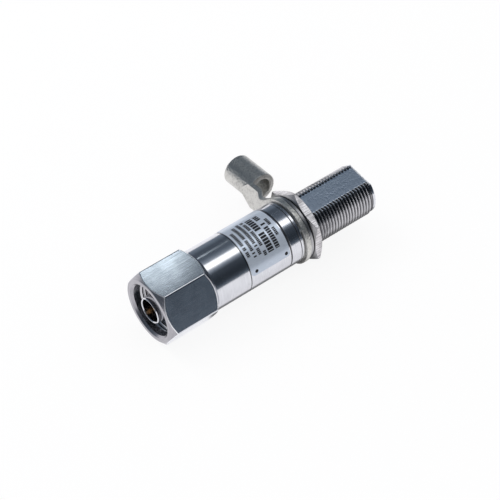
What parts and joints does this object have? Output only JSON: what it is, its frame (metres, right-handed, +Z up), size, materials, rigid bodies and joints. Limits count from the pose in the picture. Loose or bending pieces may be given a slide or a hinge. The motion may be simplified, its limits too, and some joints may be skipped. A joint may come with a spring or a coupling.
{
  "type": "coaxial lightning arrestor",
  "caption": "In-line coaxial surge arrestor with a hex coupling nut at the plug end, a turned body with a foil label, a crimp earth lug under a lock nut, and a threaded jack.",
  "frame": {"origin": "centre of the coupling nut's front face, on the connector's axis", "axes": "+X along the connector from the plug to the jack, +Z up with the part lying on its side"},
  "size_m": [0.0766, 0.0425, 0.0238],
  "materials": {
    "nickel": "bright nickel plate over turned brass",
    "tin": "matte tin plate over formed copper",
    "gold": "gold plate over brass",
    "bronze": "plain bronze sheet",
    "spring_steel": "satin",
    "foil": "metallised foil with dark print",
    "ptfe": "matte",
    "rubber": "matte"
  },
  "bodies": {
    "body": {"retaining_ring": "spring_steel", "coupling_gasket": "rubber", "outer_contact": "nickel", "male_pin": "gold", "front_insulator": "ptfe", "male_shell": "nickel", "front_seal": "rubber", "spiral_inductor": "bronze", "spacer_sleeve": "nickel", "dielectric_disc": "ptfe", "housing": "nickel", "label": "foil", "jack_contact": "gold", "rear_insulator": "ptfe", "rear_seal": "rubber", "rear_shell": "nickel"},
    "coupling": {"coupling_nut": "nickel"},
    "lug": {"ground_lug": "tin"},
    "washer": {"lock_washer": "spring_steel"},
    "nut": {"bulkhead_nut": "nickel"}
  },
  "joints": [
    {"name": "coupling_spin", "type": "hinge", "parent": "body", "child": "coupling", "pos_m": [0, 0, 0], "axis": [1, 0, 0], "continuous": true},
    {"name": "lug_swivel", "type": "hinge", "parent": "body", "child": "lug", "pos_m": [0.0492, 0, 0], "axis": [1, 0, 0], "continuous": true},
    {"name": "nut_travel", "type": "slide", "parent": "body", "child": "washer", "axis": [1, 0, 0], "range_m": [0, 0.0222]},
    {"name": "nut_turn", "type": "hinge", "parent": "washer", "child": "nut", "pos_m": [0.0527, 0, 0], "axis": [1, 0, 0], "range_deg": [0, 7544]}
  ],
  "couplings": [
    {"joint": "nut_travel", "follows": "nut_turn", "m_per_rad": 0.00016844}
  ]
}
